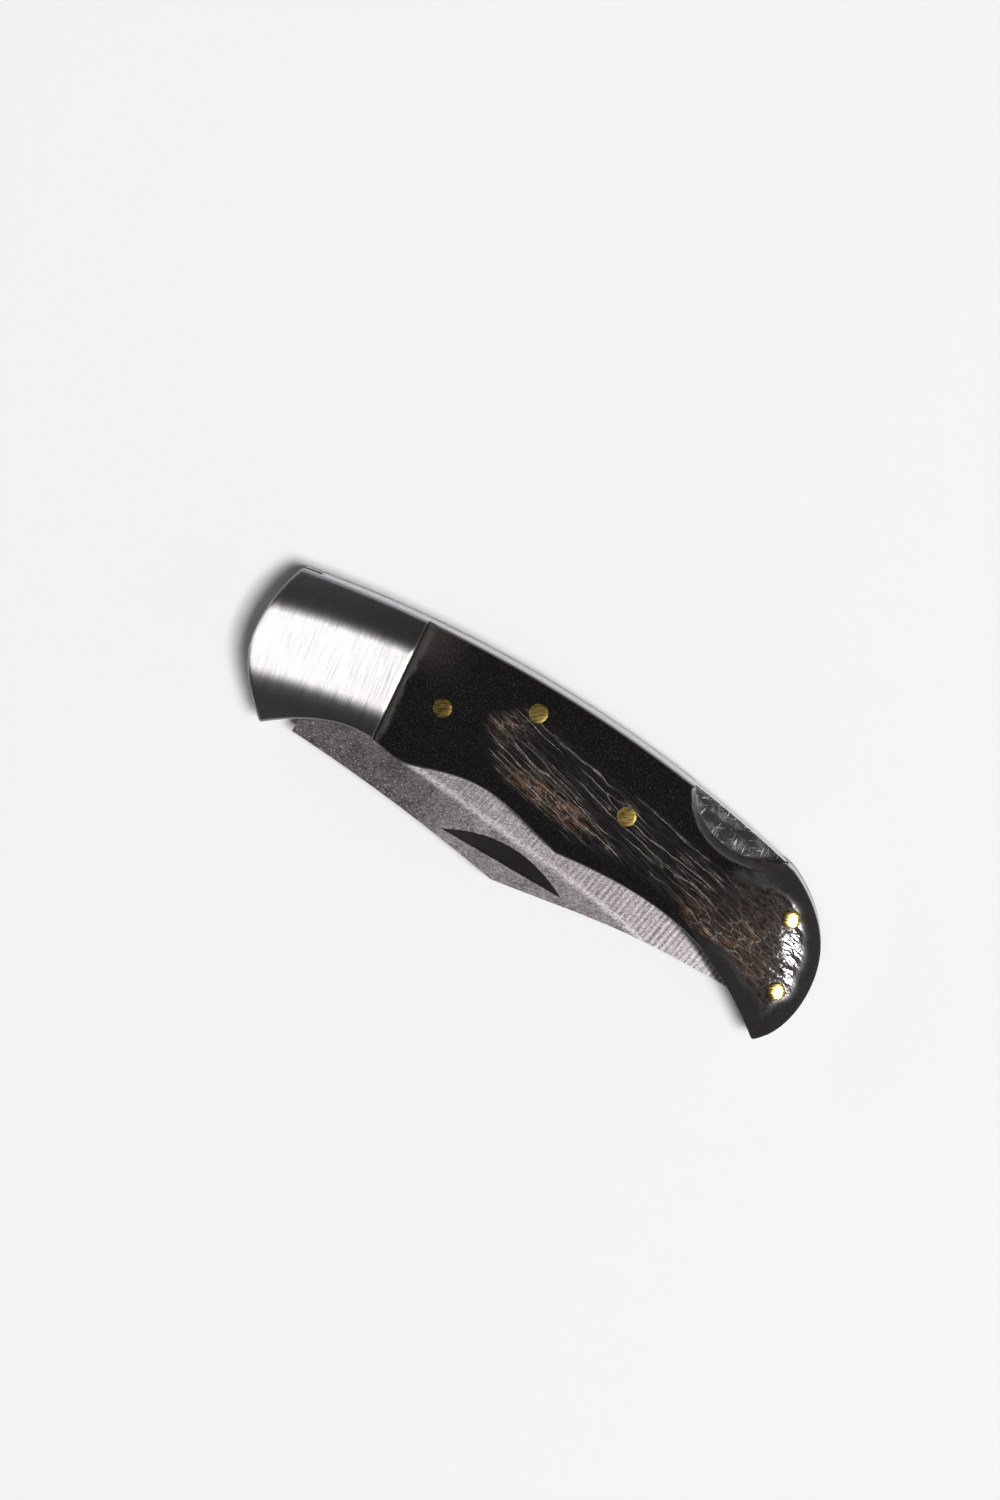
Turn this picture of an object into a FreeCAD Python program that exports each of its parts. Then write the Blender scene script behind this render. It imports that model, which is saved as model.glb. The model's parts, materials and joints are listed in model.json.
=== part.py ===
import FreeCAD, Part
import math
import os
from FreeCAD import Vector

# Rear-lock folding pocket knife, closed.
# Lengths are in millimetres. While it is drawn, the blade pivot is the origin, X runs to the tail,
# Y to the spine and Z out of the left side. The last step moves the origin under the middle of the knife.

# Stock thicknesses, from the middle plane outwards
blade_thick = 2.4
side_play = 0.03
washer_thick = 0.15
liner_thick = 1.0
scale_thick = 3.2
lock_bar_play = 0.08

# Pins and their fits
pivot_pin_dia = 4.0
body_pin_dia = 2.5
rivet_dia = 1.6
fixed_fit = 0.01
running_fit = 0.03
front_pin_at = (19.0, 3.5)
lock_pin_at = (29.9, 9.5)
middle_pin_at = (46.6, 4.2)
upper_tail_pin_at = (71.65, 4.2)
lower_tail_pin_at = (74.95, -4.8)
bolster_rivets_at = ((8.6, 7.2), (7.4, -2.4))
washer_dia = 9.0

# Handle outline: a spine arc, then curves through the points that shape the tail, belly and front
spine_radius = 180.0
spine_apex = (32.6, 13.15)
spine_front_x = -6.05
spine_tail_x = 68.8
tail_points = ((73.1, 7.04), (76.96, 2.87), (78.72, -3.5), (77.76, -9.0))
tail_beak = (75.75, -12.1)
rear_belly_points = ((69.1, -7.7), (62.0, -4.8), (54.0, -3.8))
belly_cusp = (41.3, -5.0)
front_belly_points = (
    (36.0, -3.7), (29.5, -2.65), (22.0, -4.25), (17.8, -5.5), (13.5, -4.95), (8.65, -5.5), (3.85, -7.8),
)
front_beak = (-0.25, -11.0)
front_points = ((-3.65, -7.4), (-6.35, -3.2), (-7.1, 1.4), (-6.83, 5.65))
beak_round = 0.35
spine_corner_round = 0.8

# Line where bolster meets scale, square to the spine there
seam_top = (11.73, 11.0)
seam_bottom = (13.5, -4.9)
scale_chamfer = 0.6

# Crown of bolsters and scales: a flat land that follows the handle's bend, rolled off to both edges and,
# along a slanting line, to the tail
crown_mid = (36.0, 5.2)
crown_mid_radius = 140.0
land_half_width = 3.5
spine_roll_radius = 9.0
belly_roll_radius = 13.0
tail_roll_turn_deg = 20.0
tail_roll_reach = 8.1
tail_roll_radius = 16.0

# Thumb notch in scales and liners, over the rear of the lock bar
notch_points = ((51.7, 12.9), (54.0, 9.7), (57.3, 7.9), (61.0, 7.45), (65.6, 8.5), (68.2, 10.6))
notch_middle = (60.2, 12.0)
notch_height = 8.0
notch_flare = 0.85

# Blade, drawn closed, with the cutting edge towards the spine of the handle
blade_heel = (9.5, 1.6)
edge_belly_start = (45.0, -0.95)
edge_belly_points = ((60.0, -3.4), (67.0, -5.9))
blade_tip = (71.5, -8.2)
clip_points = ((65.0, -8.4), (55.0, -9.15), (45.0, -10.85))
clip_corner = (36.0, -12.6)
blade_back_mid = (20.0, -10.75)
blade_back_front = (3.9, -9.9)
edge_thick = 0.2
bevel_height = 6.3
bevel_start_x = 12.0
bevel_run_out = 12.0
nick_middle = (36.05, -10.12)
nick_length = 18.0
nick_depth = 0.5
nick_height = 2.5
nick_tilt_deg = 1.76

# Tang and lock
tang_radius = 5.6
tooth_radius = 6.7
tooth_end_deg = 50.0
tooth_ramp_deg = 30.0
tang_kick = (7.0, 5.9)
kick_corner = (7.9, 5.2)
choil_point = (8.2, 3.2)
lock_gap = 0.1
lock_drop = 1.0
hook_front_x = -3.7
hook_rear_x = -0.6
hook_draft = 0.2
hook_floor_gap = 0.15
tooth_wall_gap = 0.4
recess_rise = 0.95
recess_end_x = 5.4
lock_rear_inset = 4.35
lock_rear_y = 4.9
lock_under_points = (
    (58.0, 5.4), (50.0, 7.5), (40.0, 8.1), (34.0, 7.5), (29.9, 6.9), (25.5, 7.3), (18.0, 7.5), (9.0, 7.1),
)
lock_under_front = (6.2, 7.05)

# Tail spacer and leaf spring
spacer_gap = 0.5
spacer_tip_gap = 0.6
spacer_step_y = (-0.6, -3.5)
spring_thick = 0.8
spring_width = 2.2
spring_slot_y = 1.6
spring_slot_fit = 0.02
spring_root_depth = 3.4
spring_steps = ((3.8, 1.15), (7.8, 2.4))
spring_reach = 11.2
spring_touch_gap = 0.1

# Faces across the thickness, worked out from the stock
blade_face = blade_thick / 2
liner_inner = blade_face + side_play + washer_thick
liner_outer = liner_inner + liner_thick
crown_top = liner_outer + scale_thick
lock_face = liner_inner - lock_bar_play
far = 200.0

# Places worked out from their neighbours
crown_axis = (crown_mid[0], crown_mid[1] - crown_mid_radius)
lock_rear_x = upper_tail_pin_at[0] - lock_rear_inset
spacer_front_x = lock_rear_x + spacer_gap
spring_root_x = spacer_front_x + spring_root_depth
spring_tip_x = spacer_front_x - spring_reach


def at(point, z=0.0):
    return Vector(point[0], point[1], z)


def spine_y(x):
    rise = math.sqrt(spine_radius ** 2 - (x - spine_apex[0]) ** 2)
    return spine_apex[1] - spine_radius + rise


def polar(radius, degrees):
    angle = math.radians(degrees)
    return (radius * math.cos(angle), radius * math.sin(angle))


def line(a, b):
    return Part.makeLine(at(a), at(b))


def path(points):
    return [line(a, b) for a, b in zip(points, points[1:])]


def arc(a, b, c):
    return Part.Arc(at(a), at(b), at(c)).toShape()


def curve(points):
    spline = Part.BSplineCurve()
    spline.interpolate([at(p) for p in points])
    return spline.toShape()


def spine_arc(x_start, x_end):
    middle = (x_start + x_end) / 2
    return arc(*[(x, spine_y(x)) for x in (x_start, middle, x_end)])


def slab(edges, z_low, z_high):
    face = Part.Face(Part.Wire(Part.__sortEdges__(edges)))
    face.translate(Vector(0, 0, z_low))
    return face.extrude(Vector(0, 0, z_high - z_low))


def rod(point, diameter, z_low, z_high):
    return Part.makeCylinder(diameter / 2, z_high - z_low, at(point, z_low))


def drill(solid, point, diameter, fit):
    return solid.cut(rod(point, diameter + 2 * fit, -far, far))


def across(solid):
    return solid.mirror(Vector(0, 0, 0), Vector(0, 0, 1))


def one_solid(shape):
    return max(shape.Solids, key=lambda solid: solid.Volume)


def round_corner(solid, point, radius):
    edges = [e for e in solid.Edges if all(math.dist(v.Point[:2], point) < 1e-4 for v in e.Vertexes)]
    return solid.makeFillet(radius, edges)


# Handle
def handle_slab(z_low, z_high):
    front_top = (spine_front_x, spine_y(spine_front_x))
    tail_top = (spine_tail_x, spine_y(spine_tail_x))
    edges = [
        spine_arc(spine_front_x, spine_tail_x),
        curve((tail_top,) + tail_points + (tail_beak,)),
        curve((tail_beak,) + rear_belly_points + (belly_cusp,)),
        curve((belly_cusp,) + front_belly_points + (front_beak,)),
        curve((front_beak,) + front_points + (front_top,)),
    ]
    solid = slab(edges, z_low, z_high)
    solid = round_corner(solid, tail_beak, beak_round)
    solid = round_corner(solid, front_beak, beak_round)
    return round_corner(solid, front_top, spine_corner_round)


def roll(land_end, direction, radius):
    # Rolled edge of a crown section, from the land out and down to the level of the liner's inner face
    fall = crown_top - liner_inner
    width = math.sqrt(radius ** 2 - (radius - fall) ** 2)
    points = []
    for share in (0.0, 0.5, 1.0):
        step = share * width
        drop = radius - math.sqrt(radius ** 2 - step ** 2)
        points.append(Vector(land_end + direction * step, 0, crown_top - drop))
    return points


def crown_section(upper):
    # Closed section between the upper edge and its mirror image below the middle plane
    lower = [edge.mirror(Vector(0, 0, 0), Vector(0, 0, 1)) for edge in upper]
    ends = []
    for point in (upper[0].Vertexes[0].Point, upper[-1].Vertexes[-1].Point):
        ends.append(Part.makeLine(point, Vector(point.x, 0, -point.z)))
    return Part.Face(Part.Wire(Part.__sortEdges__(upper + lower + ends)))


def crown():
    belly = roll(crown_mid_radius - land_half_width, -1, belly_roll_radius)
    spine = roll(crown_mid_radius + land_half_width, 1, spine_roll_radius)
    section = crown_section([
        Part.Arc(belly[2], belly[1], belly[0]).toShape(),
        Part.makeLine(belly[0], spine[0]),
        Part.Arc(*spine).toShape(),
    ])
    dome = section.revolve(Vector(0, 0, 0), Vector(0, 0, 1), 360)
    dome.translate(at(crown_axis))
    slant = Vector(*polar(1, tail_roll_turn_deg))
    tail_start = max(at(point).dot(slant) for point in tail_points) - tail_roll_reach
    tail = roll(tail_start, 1, tail_roll_radius)
    section = crown_section([
        Part.makeLine(Vector(-far, 0, crown_top), tail[0]),
        Part.Arc(*tail).toShape(),
    ])
    section.translate(Vector(0, -far, 0))
    tail_side = section.extrude(Vector(0, 2 * far, 0))
    tail_side.rotate(Vector(0, 0, 0), Vector(0, 0, 1), tail_roll_turn_deg)
    return dome.common(tail_side)


def seam_side(direction):
    # Everything in front of (-1) or behind (+1) the line where bolster meets scale
    slope = (seam_top[0] - seam_bottom[0]) / (seam_top[1] - seam_bottom[1])
    high = (seam_top[0] + slope * (far - seam_top[1]), far)
    low = (seam_top[0] - slope * (far + seam_top[1]), -far)
    outer = [(high[0] + direction * far, far), (low[0] + direction * far, -far)]
    return slab(path([low, high, outer[0], outer[1], low]), -far, far)


def notch_wire(flare, z):
    points = []
    for x, y in notch_points:
        reach = math.dist((x, y), notch_middle)
        stretch = (reach + flare) / reach
        points.append((notch_middle[0] + (x - notch_middle[0]) * stretch,
                       notch_middle[1] + (y - notch_middle[1]) * stretch))
    first, last = points[0], points[-1]
    top = spine_apex[1] + notch_height
    edges = [curve(points)] + path([last, (last[0], top), (first[0], top), first])
    wire = Part.Wire(edges)
    wire.translate(Vector(0, 0, z))
    return wire


def thumb_notch():
    straight = Part.Face(notch_wire(0, -far)).extrude(Vector(0, 0, 2 * far))
    flared = Part.makeLoft([notch_wire(0, liner_outer), notch_wire(notch_flare, crown_top)], True, True)
    return straight, flared


def scale_front_edges(solid):
    # The outer edges of the scale's front face, along the seam
    found = []
    direction = at(seam_top).sub(at(seam_bottom)).normalize()
    normal = Vector(direction.y, -direction.x, 0)
    for edge in solid.Edges:
        points = edge.discretize(5)
        on_seam = all(abs(p.sub(at(seam_bottom)).dot(normal)) < 1e-4 for p in points)
        on_crown = all(p.z > liner_outer + 1e-3 for p in points)
        across_seam = abs(points[0].sub(points[-1]).dot(direction)) > 1e-3
        if on_seam and on_crown and across_seam:
            found.append(edge)
    return found


# Blade
def blade_edge_curve():
    return curve((edge_belly_start,) + edge_belly_points + (blade_tip,))


def blade_outline():
    # Seen closed, the tang's lock notch points to the belly. A half turn brings it under the hook.
    notch_floor = -(tooth_radius + lock_gap - lock_drop - hook_floor_gap)
    notch_rear = -(hook_rear_x + tooth_wall_gap)
    tooth_y = -math.sqrt(tooth_radius ** 2 - notch_rear ** 2)
    tooth_start_deg = math.degrees(math.atan2(tooth_y, notch_rear))
    tooth_start = polar(tooth_radius, tooth_start_deg)
    tooth_end = polar(tooth_radius, tooth_end_deg - 180)
    tooth_mid = polar(tooth_radius, (tooth_start_deg + tooth_end_deg - 180) / 2)
    round_start = polar(tang_radius, tooth_ramp_deg - 180)
    round_mid = polar(tang_radius, (tooth_ramp_deg - 180 - 270) / 2)
    round_end = (0.0, tang_radius)
    back_foot = (blade_back_front[0], notch_floor)
    edges = path([blade_back_front, back_foot, (notch_rear, notch_floor), tooth_start])
    edges += [arc(tooth_start, tooth_mid, tooth_end), line(tooth_end, round_start)]
    edges += [arc(round_start, round_mid, round_end)]
    edges += path([round_end, tang_kick, kick_corner])
    edges += [arc(kick_corner, choil_point, blade_heel), line(blade_heel, edge_belly_start)]
    edges += [blade_edge_curve(), curve((blade_tip,) + clip_points + (clip_corner,))]
    edges += [arc(clip_corner, blade_back_mid, blade_back_front)]
    return edges


def bevel_cutter():
    # All that lies above a slope rising from the cutting edge to the blade's flat
    slope = (edge_belly_start[1] - blade_heel[1]) / (edge_belly_start[0] - blade_heel[0])
    start = (bevel_start_x, blade_heel[1] + slope * (bevel_start_x - blade_heel[0]))
    past_tip = (blade_tip[0] + bevel_run_out, blade_tip[1] - bevel_run_out)
    corners = [blade_tip, past_tip, (past_tip[0], far), (bevel_start_x, far), start]
    edges = path(corners) + [line(start, edge_belly_start), blade_edge_curve()]
    face = Part.Face(Part.Wire(Part.__sortEdges__(edges)))
    face.translate(Vector(0, 0, edge_thick / 2))
    fall = (blade_face - edge_thick / 2) / bevel_height
    return face.extrude(Vector(0, -bevel_run_out, bevel_run_out * fall))


def nail_nick():
    # A shallow cone cuts a straight catch towards the blade's back and runs out in an arc
    reach = (nick_length ** 2 / 4 + nick_depth ** 2) / (2 * nick_depth)
    cone = Part.makeCone(reach, reach - 2 * nick_depth, 2 * nick_height, Vector(0, 0, 0), Vector(0, 1, 0))
    cone.translate(Vector(0, 0, blade_face + reach - nick_depth))
    cone.rotate(Vector(0, 0, 0), Vector(0, 0, 1), nick_tilt_deg)
    cone.translate(at(nick_middle))
    return cone


def make_blade():
    solid = slab(blade_outline(), -blade_face, blade_face)
    cutter = bevel_cutter()
    solid = solid.cut(cutter).cut(across(cutter))
    solid = solid.cut(nail_nick())
    return drill(solid, (0, 0), pivot_pin_dia, running_fit)


# Lock
def make_lock_bar():
    hook_y = tooth_radius + lock_gap
    recess_y = hook_y + recess_rise
    front_top = (hook_front_x + hook_draft, spine_y(hook_front_x + hook_draft))
    rear_top = (lock_rear_x, spine_y(lock_rear_x))
    edges = [spine_arc(front_top[0], lock_rear_x)]
    edges += path([rear_top, (lock_rear_x, lock_rear_y), lock_under_points[0]])
    edges += [curve(lock_under_points)]
    edges += path([
        lock_under_points[-1], lock_under_front, (recess_end_x, recess_y), (hook_rear_x + hook_draft, recess_y),
        (hook_rear_x, hook_y), (hook_front_x, hook_y), front_top,
    ])
    solid = slab(edges, -lock_face, lock_face)
    return drill(solid, lock_pin_at, body_pin_dia, running_fit)


def spring_outline(grow):
    root_top = spring_slot_y + spring_thick / 2 + grow
    touch_y = lock_under_points[0][1] - spring_touch_gap
    top = [(spring_root_x + grow, root_top), (spacer_front_x, root_top)]
    top += [(spacer_front_x - ahead, root_top - grow + rise) for ahead, rise in spring_steps]
    top.append((spring_tip_x, touch_y))
    bottom = [(x, y - spring_thick - 2 * grow) for x, y in top]
    return [
        line(top[0], top[1]), curve(top[1:]), line(top[-1], bottom[-1]),
        curve(bottom[1:]), line(bottom[0], bottom[1]), line(top[0], bottom[0]),
    ]


def make_tail_spacer():
    inner = blade_tip[0] + spacer_tip_gap
    region = slab(path([
        (spacer_front_x, far), (spacer_front_x, spacer_step_y[0]), (inner, spacer_step_y[1]), (inner, -far),
        (far, -far), (far, far), (spacer_front_x, far),
    ]), -far, far)
    solid = handle_slab(-liner_inner, liner_inner).common(region)
    for place in (upper_tail_pin_at, lower_tail_pin_at):
        solid = drill(solid, place, body_pin_dia, fixed_fit)
    return solid.cut(slab(spring_outline(spring_slot_fit), -far, far))


# Sides
def make_liner(notch):
    solid = handle_slab(liner_inner, liner_outer).cut(notch)
    return drill_side(solid)


def drill_side(solid):
    solid = drill(solid, (0, 0), pivot_pin_dia, fixed_fit)
    for place in body_pins.values():
        solid = drill(solid, place, body_pin_dia, fixed_fit)
    for place in bolster_rivets_at:
        solid = drill(solid, place, rivet_dia, fixed_fit)
    return solid


body_pins = {
    "front_pin": front_pin_at,
    "lock_bar_pin": lock_pin_at,
    "middle_pin": middle_pin_at,
    "upper_tail_pin": upper_tail_pin_at,
    "lower_tail_pin": lower_tail_pin_at,
}

dome = crown()
straight_notch, flared_notch = thumb_notch()
cover = handle_slab(liner_outer, crown_top).common(dome)
bolster = one_solid(drill_side(cover.common(seam_side(-1))))
scale = one_solid(cover.common(seam_side(1)).cut(flared_notch))
scale = scale.makeChamfer(scale_chamfer, scale_front_edges(scale))
scale = one_solid(drill_side(scale))
liner = make_liner(straight_notch)
rivets = Part.makeCompound([rod(place, rivet_dia, liner_inner, crown_top).common(dome).Solids[0]
                            for place in bolster_rivets_at])
washer = drill(rod((0, 0), washer_dia, liner_inner - washer_thick, liner_inner), (0, 0), pivot_pin_dia, fixed_fit)

parts = {
    "blade": one_solid(make_blade()),
    "lock_bar": make_lock_bar(),
    "lock_spring": slab(spring_outline(0), -spring_width / 2, spring_width / 2),
    "tail_spacer": one_solid(make_tail_spacer()),
    "pivot_pin": rod((0, 0), pivot_pin_dia, -crown_top, crown_top).common(dome).Solids[0],
}
for name, place in body_pins.items():
    parts[name] = rod(place, body_pin_dia, -crown_top, crown_top).common(dome).Solids[0]
for name, left in (("bolster", bolster), ("scale", scale), ("liner", liner), ("washer", washer),
                   ("bolster_rivets", rivets)):
    parts["left_" + name] = left
    parts["right_" + name] = across(left)

# The origin goes to the middle of the box that the knife fills, on the face that it lies on
box = Part.makeCompound(list(parts.values())).optimalBoundingBox(False)
move = Vector(-box.Center.x, -box.Center.y, -box.ZMin)
os.makedirs("parts", exist_ok=True)
for name, shape in parts.items():
    placed = shape.copy()
    placed.translate(move)
    placed.exportStep("parts/" + name + ".step")
    print(name, "solids", len(shape.Solids), "volume", round(shape.Volume, 3), "valid", shape.isValid())

arm = math.dist((hook_front_x, 0), (lock_pin_at[0], 0))
print("size", [round(v, 3) for v in (box.XLength, box.YLength, box.ZLength)])
print("blade pivot at", [round(v, 4) for v in move])
print("lock pin at", [round(v, 4) for v in at(lock_pin_at).add(move)])
print("lock engages at degrees", round(math.degrees(math.asin(lock_drop / arm)), 3))
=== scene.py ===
# %% [markdown]
# # A rear-lock pocket knife, dressed for its portrait
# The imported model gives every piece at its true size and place. This lesson adds what steel, horn and
# brass look like: finer surfaces where the eye is close, procedural finishes, and the light of the
# photograph.

# %% Load the knife
import json
import math
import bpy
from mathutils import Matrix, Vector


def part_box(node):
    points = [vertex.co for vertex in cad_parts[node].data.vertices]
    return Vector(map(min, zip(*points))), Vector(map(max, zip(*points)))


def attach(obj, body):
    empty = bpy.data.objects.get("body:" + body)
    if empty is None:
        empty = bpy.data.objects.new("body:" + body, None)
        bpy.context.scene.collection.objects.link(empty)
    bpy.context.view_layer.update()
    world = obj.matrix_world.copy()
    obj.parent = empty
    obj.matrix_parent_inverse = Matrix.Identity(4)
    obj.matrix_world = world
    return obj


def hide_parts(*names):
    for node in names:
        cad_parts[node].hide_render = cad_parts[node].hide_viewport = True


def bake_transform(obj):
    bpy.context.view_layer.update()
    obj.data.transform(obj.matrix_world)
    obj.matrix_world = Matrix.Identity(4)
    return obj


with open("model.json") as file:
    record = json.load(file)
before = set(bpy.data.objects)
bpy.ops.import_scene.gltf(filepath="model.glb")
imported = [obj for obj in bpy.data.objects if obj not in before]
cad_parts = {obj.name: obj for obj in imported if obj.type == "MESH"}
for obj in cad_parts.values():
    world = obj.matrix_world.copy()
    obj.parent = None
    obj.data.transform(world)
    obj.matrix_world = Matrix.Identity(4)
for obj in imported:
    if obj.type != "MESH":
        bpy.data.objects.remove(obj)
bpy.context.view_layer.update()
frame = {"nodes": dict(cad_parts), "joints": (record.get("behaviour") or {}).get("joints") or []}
from types import SimpleNamespace
import bpy
import bmesh
import numpy as np
from mathutils import Matrix, Vector, geometry, noise
nodes = frame["nodes"]
scene = bpy.context.scene
scene.view_settings.view_transform = "Standard"
print("pieces loaded:", len(nodes))

# %% [markdown]
# ## A ruler that starts at the blade's pivot
# A cutler measures a folding knife from its pivot: x runs to the tail, y to the spine, z out of the left
# side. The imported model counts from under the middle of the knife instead. The pivot's place is written
# in the frame, so two small functions turn one into the other, and every size below can be read as on a
# drawing.

# %% The ruler
MM = 0.001
joints = {joint["name"]: joint for joint in frame["joints"]}
pivot = np.array(joints["blade_pivot"]["pos_m"])


def to_mm(points):
    return (np.asarray(points, float) - pivot) / MM


def to_frame(points):
    return np.asarray(points, float) * MM + pivot


liner_outer = to_mm(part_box("left_liner")[1])[2]
crown_top = to_mm(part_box("left_scale")[1])[2]
print("half thickness of the knife, mm:", round(float(crown_top), 3))

# %% [markdown]
# ## The crown
# Bolsters and scales share one crown: a flat land that bends with the handle, rolled off towards the
# spine, the belly and, along a slanting line, the tail. A solid is cut into flat facets when it is
# packed, and polished steel shows every one. Smooth shading alone would only blur them. So the visible
# shells are made again from the same three radii, as a height over each point of the plan.

# %% Height of the crown
CROWN_AXIS = (36.0, -134.8)
CROWN_MID_RADIUS = 140.0
LAND_HALF_WIDTH = 3.5
SPINE_ROLL = 9.0
BELLY_ROLL = 13.0
TAIL_ROLL = 16.0
TAIL_ROLL_START = 65.2
TAIL_ROLL_DEG = 20.0
TAIL_ROLL_WAY = (math.cos(math.radians(TAIL_ROLL_DEG)), math.sin(math.radians(TAIL_ROLL_DEG)))


def roll_drop(beyond, radius):
    step = np.clip(beyond, 0.0, radius)
    return radius - np.sqrt(radius ** 2 - step ** 2)


def crown_height(x, y):
    reach = np.hypot(x - CROWN_AXIS[0], y - CROWN_AXIS[1]) - CROWN_MID_RADIUS
    side = np.maximum(roll_drop(reach - LAND_HALF_WIDTH, SPINE_ROLL),
                      roll_drop(-reach - LAND_HALF_WIDTH, BELLY_ROLL))
    to_tail = x * TAIL_ROLL_WAY[0] + y * TAIL_ROLL_WAY[1]
    return crown_top - np.hypot(side, roll_drop(to_tail - TAIL_ROLL_START, TAIL_ROLL))


tail_pin = np.mean([to_mm(corner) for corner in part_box("lower_tail_pin")], axis=0)
print("crown over the lower tail pin, mm:", round(float(crown_height(*tail_pin[:2])), 3))

# %% [markdown]
# ## Outlines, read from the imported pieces
# A shell needs the outline that its solid has. It could be drawn a second time, but then the two could
# differ. The solid's foot, the flat face against the liner, holds it: an edge that only one foot face
# uses lies on the outline or round a pin hole. Walking along those edges gives closed loops.

# %% Read the loops of a foot face
SAME_PLACE_M = 1e-6


def foot_ways(work, foot_z):
    # For each point on the border of the foot, the points next to it
    used = {}
    for face in work.faces:
        if all(abs(v.co.z - foot_z) < SAME_PLACE_M for v in face.verts):
            for edge in face.edges:
                used[edge] = used.get(edge, 0) + 1
    ways = {}
    for edge, count in used.items():
        if count == 1:
            a, b = edge.verts
            ways.setdefault(a, []).append(b)
            ways.setdefault(b, []).append(a)
    return ways


def foot_loops(name, foot_z):
    work = bmesh.new()
    work.from_mesh(nodes[name].data)
    bmesh.ops.remove_doubles(work, verts=work.verts, dist=SAME_PLACE_M)
    ways = foot_ways(work, foot_z)
    loops = []
    while ways:
        loop = [next(iter(ways))]
        while True:
            ahead = [v for v in ways.pop(loop[-1]) if v in ways]
            if not ahead:
                break
            loop.append(ahead[0])
        loops.append(to_mm([v.co for v in loop])[:, :2])
    work.free()
    loops.sort(key=lambda loop: -np.ptp(loop, axis=0).prod())
    return loops


foot = {side: to_frame((0, 0, sign * liner_outer))[2] for side, sign in (("left", 1), ("right", -1))}
bolster_loops = foot_loops("left_bolster", foot["left"])
scale_loops = foot_loops("left_scale", foot["left"])
print("loops of the left bolster and scale:", len(bolster_loops), len(scale_loops))

# %% [markdown]
# ## Even steps and distances
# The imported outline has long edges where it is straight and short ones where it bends. A fine shell wants
# points at even steps, so each loop is measured along its length and cut again. The distance from a point
# to a loop is needed as well: it tells how near the rounded edge is.

# %% Even steps along a loop
LEAST_STEPS = 8
NO_LENGTH = 1e-12


def turns_left(loop):
    x, y = loop.T
    return np.sum(x * np.roll(y, -1) - np.roll(x, -1) * y) > 0


def even_steps(loop, step):
    loop = loop if turns_left(loop) else loop[::-1]
    closed = np.vstack([loop, loop[:1]])
    along = np.concatenate([[0], np.cumsum(np.hypot(*np.diff(closed, axis=0).T))])
    count = max(LEAST_STEPS, round(along[-1] / step))
    at = np.linspace(0, along[-1], count, endpoint=False)
    return np.column_stack([np.interp(at, along, closed[:, i]) for i in (0, 1)])


def distance_to(points, loop, closed=True):
    ends = np.roll(loop, -1, axis=0) if closed else loop[1:]
    best = np.full(len(points), np.inf)
    for start, end in zip(loop, ends):
        d = end - start
        t = np.clip(((points - start) @ d) / max(d @ d, NO_LENGTH), 0, 1)
        best = np.minimum(best, np.hypot(*(points - start - t[:, None] * d).T))
    return best


print("millimetre steps round the left scale:", len(even_steps(scale_loops[0], 1.0)))

# %% [markdown]
# ## The plan of a shell
# Seen from above, a shell is its outline filled with points: a staggered grid inside, and close rows that
# follow the outline, where the edge is rounded over. A plain grid would cut that edge into steps. Points
# too near to the outline or to a pin hole are dropped, so that no sliver is left.

# %% Points of the plan
OUTLINE_STEP = 0.3
EDGE_ROWS = (0.06, 0.14, 0.25, 0.4, 0.6, 0.8, 0.9)
ROW_CLEAR = 0.9
GRID_CLEAR = EDGE_ROWS[-1] + 0.1
HOLE_CLEAR = 0.08
BOLSTER_GRID = 0.35


def staggered_grid(low, high, step):
    xs = np.arange(low[0], high[0], step)
    ys = np.arange(low[1], high[1], step)
    grid = np.array(np.meshgrid(xs, ys)).reshape(2, -1).T
    odd_row = np.round((grid[:, 1] - low[1]) / step) % 2 == 1
    grid[:, 0] += np.where(odd_row, step / 2, 0)
    return grid


def plan_points(loops, grid_step):
    outer = even_steps(loops[0], OUTLINE_STEP)
    holes = [even_steps(loop, OUTLINE_STEP / 2) for loop in loops[1:]]
    ahead = np.roll(outer, -1, axis=0) - np.roll(outer, 1, axis=0)
    inward = np.column_stack([-ahead[:, 1], ahead[:, 0]]) / np.hypot(*ahead.T)[:, None]
    rows = [outer + inward * depth for depth in EDGE_ROWS]
    grid = staggered_grid(outer.min(0), outer.max(0), grid_step)
    inside = np.vstack([grid] + rows)
    row_clear = np.repeat(EDGE_ROWS, len(outer)) * ROW_CLEAR
    wanted = np.concatenate([np.full(len(grid), GRID_CLEAR), row_clear])
    keep = distance_to(inside, outer) > wanted
    for hole in holes:
        keep &= distance_to(inside, hole) > HOLE_CLEAR
    return outer, holes, inside[keep]


print("points inside the bolster's plan:", len(plan_points(bolster_loops, BOLSTER_GRID)[2]))

# %% [markdown]
# ## Triangles between the points
# A Delaunay triangulation joins the points with triangles as even as they can be. It is told to keep the
# edges of the outline and of the holes. The triangles that fall inside a pin hole are taken out again.

# %% Triangles of the plan
CUT_TO_OUTLINE = 1
SAME_POINT_MM = 1e-7
HOLE_SHARE = 0.98


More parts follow.
